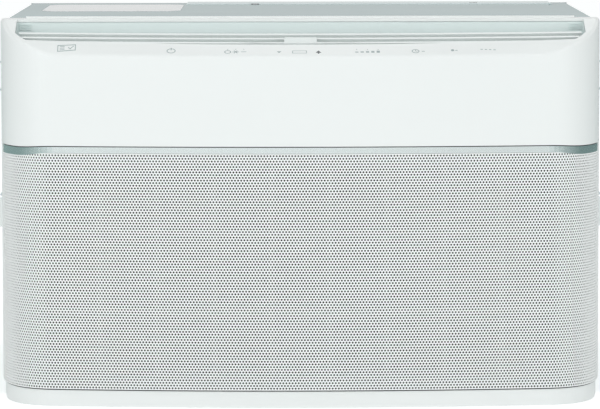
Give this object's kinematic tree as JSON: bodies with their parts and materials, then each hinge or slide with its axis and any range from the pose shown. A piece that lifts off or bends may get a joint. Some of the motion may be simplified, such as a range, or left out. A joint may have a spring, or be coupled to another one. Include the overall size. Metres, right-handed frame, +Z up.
{
  "type": "window air conditioner",
  "caption": "Bow-fronted window air conditioner with a perforated wraparound intake grille and a louvred outlet in the sloping top of its front.",
  "frame": {"origin": "bottom centre of the unit, on the plane it stands on", "axes": "+Z up, +X along the width to the right as seen from the room, +Y towards the outdoors, the bowed front faces -Y"},
  "size_m": [0.5808, 0.533, 0.3636],
  "materials": {
    "white_plastic": "satin moulded white",
    "white_louvre": "satin moulded white",
    "duct_plastic": "cool grey-white moulding",
    "bright_trim": "bright plated strip",
    "grille_metal": "white powder coat over perforated steel",
    "cabinet_metal": "semi-gloss cool grey paint",
    "pan_metal": "galvanised",
    "guard_metal": "cool grey paint",
    "filter_plastic": "white moulded frame",
    "filter_net": "woven dark net",
    "coil_fins": "bare fin stock",
    "pipe_copper": "drawn copper",
    "black_plastic": "moulded black",
    "grey_plastic": "moulded grey",
    "shaft_steel": "ground steel",
    "motor_metal": "grey enamel",
    "compressor_black": "black enamel",
    "board_green": "circuit board",
    "capacitor_metal": "drawn can",
    "foam_white": "expanded foam moulding",
    "black_rubber": "moulded rubber",
    "screw_steel": "zinc-plated"
  },
  "bodies": {
    "unit": {"front_panel": "white_plastic", "outlet_duct": "duct_plastic", "vane_rail": "duct_plastic", "touch_board": "board_green", "trim_strip": "bright_trim", "grille_mesh": "grille_metal", "grille_backing": "white_plastic", "base_skirt": "white_plastic", "front_frame": "white_plastic", "cabinet_lid": "cabinet_metal", "cabinet_side_left": "cabinet_metal", "cabinet_side_right": "cabinet_metal", "cord_grommet": "black_rubber", "curtain_brackets": "cabinet_metal", "base_pan": "pan_metal", "rear_guard": "guard_metal", "cabinet_screws": "screw_steel", "drain_tray": "foam_white", "evaporator_coil": "coil_fins", "blower_scroll": "foam_white", "bulkhead": "pan_metal", "control_box": "pan_metal", "main_board": "board_green", "run_capacitor": "capacitor_metal", "fan_motor": "motor_metal", "motor_bracket": "pan_metal", "fan_shroud": "grey_plastic", "condenser_coil": "coil_fins", "compressor": "compressor_black", "compressor_grommets": "black_rubber", "compressor_nuts": "screw_steel", "terminal_cover": "black_plastic", "discharge_pipe": "pipe_copper", "suction_pipe": "pipe_copper", "liquid_pipe": "pipe_copper", "capillary_tube": "pipe_copper", "filter_drier": "pipe_copper"},
    "louvre_front": {"louvre_front": "white_louvre"},
    "louvre_middle": {"louvre_middle": "white_louvre"},
    "louvre_rear": {"louvre_rear": "white_louvre"},
    "louvre_link": {"louvre_link": "grey_plastic"},
    "vane_link_left": {"vane_link_left": "grey_plastic"},
    "vane_link_right": {"vane_link_right": "grey_plastic"},
    "rotor": {"motor_shaft": "shaft_steel", "blower_wheel": "black_plastic", "axial_fan": "black_plastic"},
    "filter_left": {"filter_frame_left": "filter_plastic", "filter_net_left": "filter_net"},
    "filter_right": {"filter_frame_right": "filter_plastic", "filter_net_right": "filter_net"},
    "vane_left_1": {"vane_left_1": "white_louvre"},
    "vane_left_2": {"vane_left_2": "white_louvre"},
    "vane_left_3": {"vane_left_3": "white_louvre"},
    "vane_left_4": {"vane_left_4": "white_louvre"},
    "vane_left_5": {"vane_left_5": "white_louvre"},
    "vane_right_1": {"vane_right_1": "white_louvre"},
    "vane_right_2": {"vane_right_2": "white_louvre"},
    "vane_right_3": {"vane_right_3": "white_louvre"},
    "vane_right_4": {"vane_right_4": "white_louvre"},
    "vane_right_5": {"vane_right_5": "white_louvre"}
  },
  "joints": [
    {"name": "louvre_middle_tilt", "type": "hinge", "parent": "unit", "child": "louvre_middle", "pos_m": [0, -0.21787, 0.34037], "axis": [1, 0, 0], "range_deg": [-15, 20]},
    {"name": "louvre_front_tilt", "type": "hinge", "parent": "unit", "child": "louvre_front", "pos_m": [0, -0.22667, 0.33681], "axis": [1, 0, 0], "range_deg": [-15, 20]},
    {"name": "louvre_rear_tilt", "type": "hinge", "parent": "unit", "child": "louvre_rear", "pos_m": [0, -0.20907, 0.34392], "axis": [1, 0, 0], "range_deg": [-15, 20]},
    {"name": "louvre_link_pivot", "type": "hinge", "parent": "louvre_middle", "child": "louvre_link", "pos_m": [0.2443, -0.20983, 0.33079], "axis": [1, 0, 0], "range_deg": [-20, 15]},
    {"name": "vane_left_3_swing", "type": "hinge", "parent": "unit", "child": "vane_left_3", "pos_m": [-0.115, -0.2085, 0.309], "axis": [0, 0, 1], "range_deg": [-30, 30]},
    {"name": "vane_left_1_swing", "type": "hinge", "parent": "unit", "child": "vane_left_1", "pos_m": [-0.023, -0.2085, 0.309], "axis": [0, 0, 1], "range_deg": [-30, 30]},
    {"name": "vane_left_2_swing", "type": "hinge", "parent": "unit", "child": "vane_left_2", "pos_m": [-0.069, -0.2085, 0.309], "axis": [0, 0, 1], "range_deg": [-30, 30]},
    {"name": "vane_left_4_swing", "type": "hinge", "parent": "unit", "child": "vane_left_4", "pos_m": [-0.161, -0.2085, 0.309], "axis": [0, 0, 1], "range_deg": [-30, 30]},
    {"name": "vane_left_5_swing", "type": "hinge", "parent": "unit", "child": "vane_left_5", "pos_m": [-0.207, -0.2085, 0.309], "axis": [0, 0, 1], "range_deg": [-30, 30]},
    {"name": "vane_link_left_pivot", "type": "hinge", "parent": "vane_left_3", "child": "vane_link_left", "pos_m": [-0.115, -0.2225, 0.3193], "axis": [0, 0, 1], "range_deg": [-30, 30]},
    {"name": "vane_right_3_swing", "type": "hinge", "parent": "unit", "child": "vane_right_3", "pos_m": [0.115, -0.2085, 0.309], "axis": [0, 0, 1], "range_deg": [-30, 30]},
    {"name": "vane_right_1_swing", "type": "hinge", "parent": "unit", "child": "vane_right_1", "pos_m": [0.023, -0.2085, 0.309], "axis": [0, 0, 1], "range_deg": [-30, 30]},
    {"name": "vane_right_2_swing", "type": "hinge", "parent": "unit", "child": "vane_right_2", "pos_m": [0.069, -0.2085, 0.309], "axis": [0, 0, 1], "range_deg": [-30, 30]},
    {"name": "vane_right_4_swing", "type": "hinge", "parent": "unit", "child": "vane_right_4", "pos_m": [0.161, -0.2085, 0.309], "axis": [0, 0, 1], "range_deg": [-30, 30]},
    {"name": "vane_right_5_swing", "type": "hinge", "parent": "unit", "child": "vane_right_5", "pos_m": [0.207, -0.2085, 0.309], "axis": [0, 0, 1], "range_deg": [-30, 30]},
    {"name": "vane_link_right_pivot", "type": "hinge", "parent": "vane_right_3", "child": "vane_link_right", "pos_m": [0.115, -0.2225, 0.3193], "axis": [0, 0, 1], "range_deg": [-30, 30]},
    {"name": "fan_spin", "type": "hinge", "parent": "unit", "child": "rotor", "pos_m": [-0.07, 0.0149, 0.168], "axis": [0, 1, 0], "continuous": true},
    {"name": "filter_left_slide", "type": "slide", "parent": "unit", "child": "filter_left", "axis": [-1, 0, 0], "range_m": [0, 0.27]},
    {"name": "filter_right_slide", "type": "slide", "parent": "unit", "child": "filter_right", "axis": [1, 0, 0], "range_m": [0, 0.27]}
  ],
  "couplings": [
    {"joint": "louvre_front_tilt", "follows": "louvre_middle_tilt", "ratio": 1},
    {"joint": "louvre_rear_tilt", "follows": "louvre_middle_tilt", "ratio": 1},
    {"joint": "louvre_link_pivot", "follows": "louvre_middle_tilt", "ratio": -1},
    {"joint": "vane_left_1_swing", "follows": "vane_left_3_swing", "ratio": 1},
    {"joint": "vane_left_2_swing", "follows": "vane_left_3_swing", "ratio": 1},
    {"joint": "vane_left_4_swing", "follows": "vane_left_3_swing", "ratio": 1},
    {"joint": "vane_left_5_swing", "follows": "vane_left_3_swing", "ratio": 1},
    {"joint": "vane_link_left_pivot", "follows": "vane_left_3_swing", "ratio": -1},
    {"joint": "vane_right_1_swing", "follows": "vane_right_3_swing", "ratio": 1},
    {"joint": "vane_right_2_swing", "follows": "vane_right_3_swing", "ratio": 1},
    {"joint": "vane_right_4_swing", "follows": "vane_right_3_swing", "ratio": 1},
    {"joint": "vane_right_5_swing", "follows": "vane_right_3_swing", "ratio": 1},
    {"joint": "vane_link_right_pivot", "follows": "vane_right_3_swing", "ratio": -1}
  ]
}
